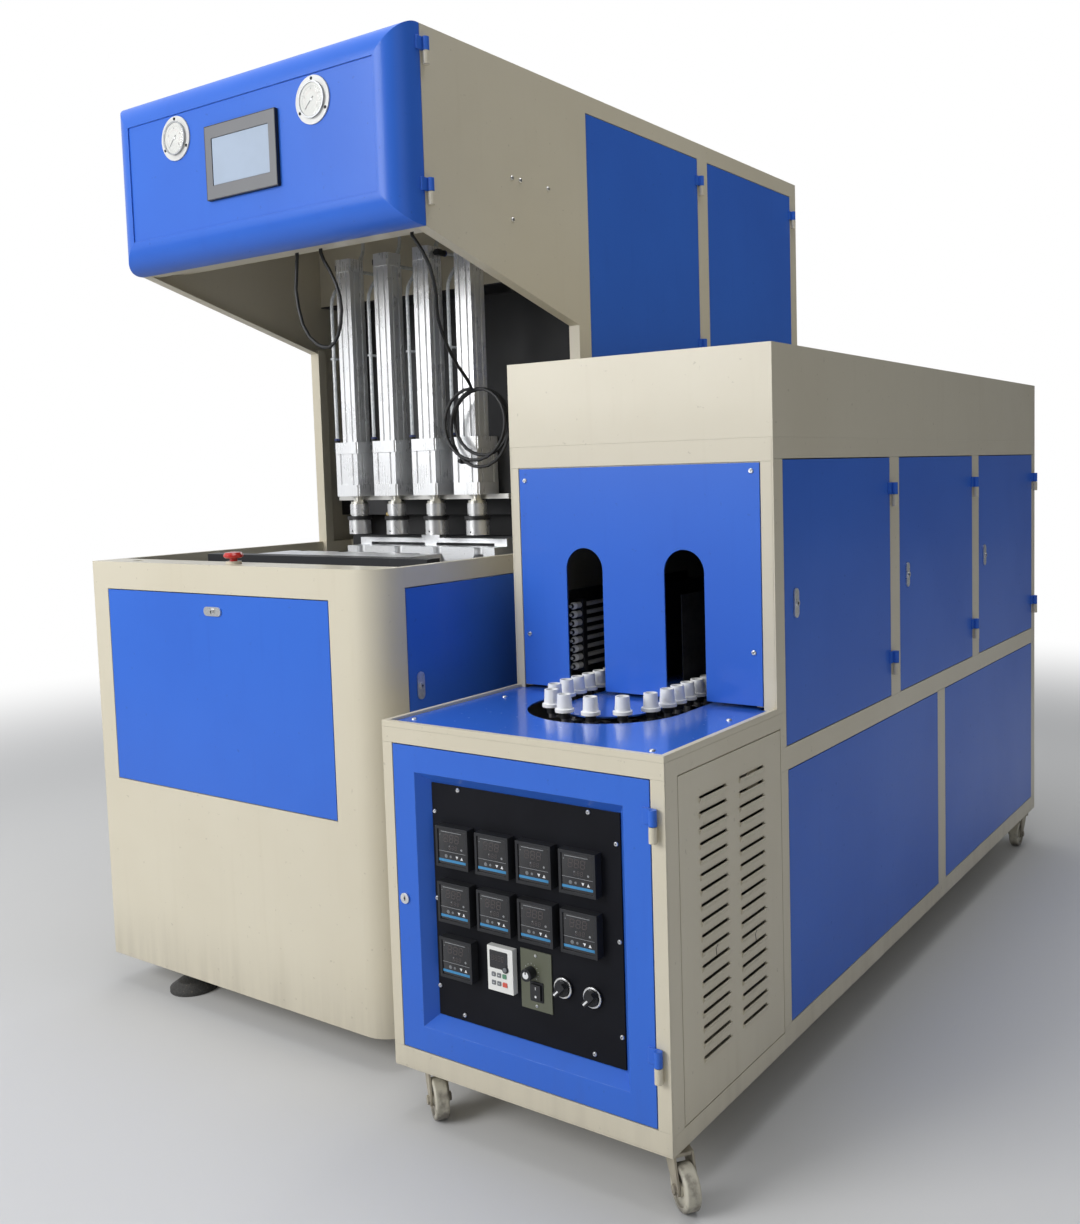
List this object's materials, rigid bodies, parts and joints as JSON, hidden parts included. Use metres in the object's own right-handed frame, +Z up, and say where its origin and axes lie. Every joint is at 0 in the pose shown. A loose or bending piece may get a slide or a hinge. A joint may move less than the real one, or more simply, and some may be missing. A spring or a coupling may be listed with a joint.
{
  "type": "blow moulding machine",
  "caption": "Semi-automatic bottle blow moulding machine with a clamp desk, overhanging cylinder head and a separate preform heater with lamp oven and carrier chain.",
  "frame": {"origin": "middle of the base of the whole machine, both units together, on the floor", "axes": "X to the machine's right seen from the operator, Y to the back, Z up"},
  "size_m": [1.6541, 2.255, 2.092],
  "materials": {
    "cream_paint": "semi-gloss cream enamel on folded steel sheet",
    "blue_paint": "glossy blue enamel on folded steel sheet",
    "black_paint": "satin black paint on machined steel",
    "dark_iron": "black cast iron pads with oil and dust",
    "alloy": "machined and anodised aluminium",
    "bright_steel": "bright ground or plated steel",
    "dark_steel": "oiled machined steel",
    "black_plastic": "matte black moulded plastic",
    "white_plastic": "white moulded plastic",
    "red_plastic": "red moulded plastic",
    "clear_tube": "translucent polyurethane tube",
    "black_rubber": "black rubber cable sheath",
    "lamp_glass": "quartz lamp tubes with ceramic ends",
    "caster_nylon": "worn cream nylon wheel with road dirt"
  },
  "bodies": {
    "machine": {"desk_shell": "cream_paint", "desk_frame": "cream_paint", "desk_covers": "blue_paint", "levelling_feet": "dark_iron", "head_shell": "cream_paint", "cylinder_bench": "black_paint", "air_cylinders": "alloy", "air_fittings": "black_plastic", "air_tubes": "clear_tube", "cable_loop": "black_rubber", "cable_drop": "black_rubber", "cable_coil": "black_rubber", "fixed_platen": "black_paint", "rear_mould": "alloy", "frame_hinges": "cream_paint", "heater_frame": "cream_paint", "oven_hood": "cream_paint", "oven_panels": "blue_paint", "table_plates": "blue_paint", "louvre_panel": "cream_paint", "lamp_racks": "bright_steel", "lamps": "lamp_glass", "carrier_chain": "dark_steel", "preform_carriers": "white_plastic", "caster_plates": "cream_paint"},
    "nozzles": {"blow_nozzles": "bright_steel"},
    "rods": {"stretch_rods": "bright_steel"},
    "clamp": {"moving_platen": "black_paint", "front_mould": "alloy", "tie_bars": "bright_steel"},
    "cover": {"head_cover": "blue_paint", "touch_screen": "black_plastic", "pressure_gauges": "bright_steel"},
    "head_door_front": {"head_door_front": "blue_paint"},
    "head_door_rear": {"head_door_rear": "blue_paint"},
    "stop": {"stop_button": "red_plastic"},
    "control_door": {"control_door": "blue_paint", "control_plate": "black_paint", "power_meters": "black_plastic", "drive_controls": "white_plastic"},
    "speed_knob": {"speed_knob": "black_plastic"},
    "selector_left": {"selector_left": "black_plastic"},
    "selector_right": {"selector_right": "black_plastic"},
    "oven_door_1": {"oven_door_1": "blue_paint"},
    "oven_door_2": {"oven_door_2": "blue_paint"},
    "oven_door_3": {"oven_door_3": "blue_paint"},
    "front_lock": {"front_lock": "bright_steel"},
    "side_lock": {"side_lock": "bright_steel"},
    "control_lock": {"control_lock": "bright_steel"},
    "oven_lock_1": {"oven_lock_1": "bright_steel"},
    "oven_lock_2": {"oven_lock_2": "bright_steel"},
    "oven_lock_3": {"oven_lock_3": "bright_steel"},
    "caster_fork_1": {"caster_fork_1": "cream_paint"},
    "caster_wheel_1": {"caster_wheel_1": "caster_nylon"},
    "caster_fork_2": {"caster_fork_2": "cream_paint"},
    "caster_wheel_2": {"caster_wheel_2": "caster_nylon"},
    "caster_fork_3": {"caster_fork_3": "cream_paint"},
    "caster_wheel_3": {"caster_wheel_3": "caster_nylon"},
    "caster_fork_4": {"caster_fork_4": "cream_paint"},
    "caster_wheel_4": {"caster_wheel_4": "caster_nylon"}
  },
  "joints": [
    {"name": "nozzle_stroke", "type": "slide", "parent": "machine", "child": "nozzles", "axis": [0, 0, -1], "range_m": [0, 0.028]},
    {"name": "rod_stroke", "type": "slide", "parent": "machine", "child": "rods", "axis": [0, 0, -1], "range_m": [0, 0.28]},
    {"name": "clamp_stroke", "type": "slide", "parent": "machine", "child": "clamp", "axis": [0, 1, 0], "range_m": [0, 0.195]},
    {"name": "stop_push", "type": "slide", "parent": "machine", "child": "stop", "axis": [0, 0, -1], "range_m": [0, 0.006]},
    {"name": "cover_hinge", "type": "hinge", "parent": "machine", "child": "cover", "pos_m": [0.10394, -0.8235, 1.9], "axis": [0, 0, 1], "range_deg": [0, 110]},
    {"name": "head_door_front_hinge", "type": "hinge", "parent": "machine", "child": "head_door_front", "pos_m": [0.10394, 0.2965, 1.743], "axis": [0, 0, 1], "range_deg": [0, 110]},
    {"name": "head_door_rear_hinge", "type": "hinge", "parent": "machine", "child": "head_door_rear", "pos_m": [0.10394, 0.8965, 1.743], "axis": [0, 0, 1], "range_deg": [0, 110]},
    {"name": "control_door_hinge", "type": "hinge", "parent": "machine", "child": "control_door", "pos_m": [0.77394, -1.1205, 0.43], "axis": [0, 0, 1], "range_deg": [0, 120]},
    {"name": "oven_door_1_hinge", "type": "hinge", "parent": "machine", "child": "oven_door_1", "pos_m": [0.79994, -0.1145, 0.944], "axis": [0, 0, 1], "range_deg": [0, 100]},
    {"name": "oven_lock_1_turn", "type": "hinge", "parent": "oven_door_1", "child": "oven_lock_1", "pos_m": [0.79194, -0.6235, 0.941], "axis": [1, 0, 0], "range_deg": [0, 90]},
    {"name": "oven_door_2_hinge", "type": "hinge", "parent": "machine", "child": "oven_door_2", "pos_m": [0.79994, 0.4925, 0.944], "axis": [0, 0, 1], "range_deg": [0, 100]},
    {"name": "oven_lock_2_turn", "type": "hinge", "parent": "oven_door_2", "child": "oven_lock_2", "pos_m": [0.79194, -0.0165, 0.941], "axis": [1, 0, 0], "range_deg": [0, 90]},
    {"name": "oven_door_3_hinge", "type": "hinge", "parent": "machine", "child": "oven_door_3", "pos_m": [0.79994, 1.0995, 0.944], "axis": [0, 0, 1], "range_deg": [0, 100]},
    {"name": "oven_lock_3_turn", "type": "hinge", "parent": "oven_door_3", "child": "oven_lock_3", "pos_m": [0.79194, 0.5905, 0.941], "axis": [1, 0, 0], "range_deg": [0, 90]},
    {"name": "front_lock_turn", "type": "hinge", "parent": "machine", "child": "front_lock", "pos_m": [-0.39606, -1.0145, 0.917], "axis": [0, 1, 0], "range_deg": [0, 90]},
    {"name": "side_lock_turn", "type": "hinge", "parent": "machine", "child": "side_lock", "pos_m": [0.09594, -0.9025, 0.776], "axis": [1, 0, 0], "range_deg": [0, 90]},
    {"name": "control_lock_turn", "type": "hinge", "parent": "control_door", "child": "control_lock", "pos_m": [0.23394, -1.1125, 0.429], "axis": [0, -1, 0], "range_deg": [0, 90]},
    {"name": "speed_knob_turn", "type": "hinge", "parent": "control_door", "child": "speed_knob", "pos_m": [0.50394, -1.0925, 0.341], "axis": [0, -1, 0], "range_deg": [-150, 150]},
    {"name": "selector_left_turn", "type": "hinge", "parent": "control_door", "child": "selector_left", "pos_m": [0.57194, -1.0925, 0.329], "axis": [0, -1, 0], "range_deg": [-45, 45]},
    {"name": "selector_right_turn", "type": "hinge", "parent": "control_door", "child": "selector_right", "pos_m": [0.63194, -1.0925, 0.326], "axis": [0, -1, 0], "range_deg": [-45, 45]},
    {"name": "caster_1_swivel", "type": "hinge", "parent": "machine", "child": "caster_fork_1", "pos_m": [0.22694, -1.0475, 0.088], "axis": [0, 0, 1], "continuous": true},
    {"name": "caster_1_roll", "type": "hinge", "parent": "caster_fork_1", "child": "caster_wheel_1", "pos_m": [0.26049, -1.07278, 0.038], "axis": [0.6018, 0.7986, 0], "continuous": true},
    {"name": "caster_2_swivel", "type": "hinge", "parent": "machine", "child": "caster_fork_2", "pos_m": [0.75694, -1.0475, 0.088], "axis": [0, 0, 1], "continuous": true},
    {"name": "caster_2_roll", "type": "hinge", "parent": "caster_fork_2", "child": "caster_wheel_2", "pos_m": [0.79049, -1.07278, 0.038], "axis": [0.6018, 0.7986, 0], "continuous": true},
    {"name": "caster_3_swivel", "type": "hinge", "parent": "machine", "child": "caster_fork_3", "pos_m": [0.22694, 1.0925, 0.088], "axis": [0, 0, 1], "continuous": true},
    {"name": "caster_3_roll", "type": "hinge", "parent": "caster_fork_3", "child": "caster_wheel_3", "pos_m": [0.22694, 1.0505, 0.038], "axis": [1, 0, 0], "continuous": true},
    {"name": "caster_4_swivel", "type": "hinge", "parent": "machine", "child": "caster_fork_4", "pos_m": [0.75694, 1.0925, 0.088], "axis": [0, 0, 1], "continuous": true},
    {"name": "caster_4_roll", "type": "hinge", "parent": "caster_fork_4", "child": "caster_wheel_4", "pos_m": [0.75694, 1.0505, 0.038], "axis": [1, 0, 0], "continuous": true}
  ]
}
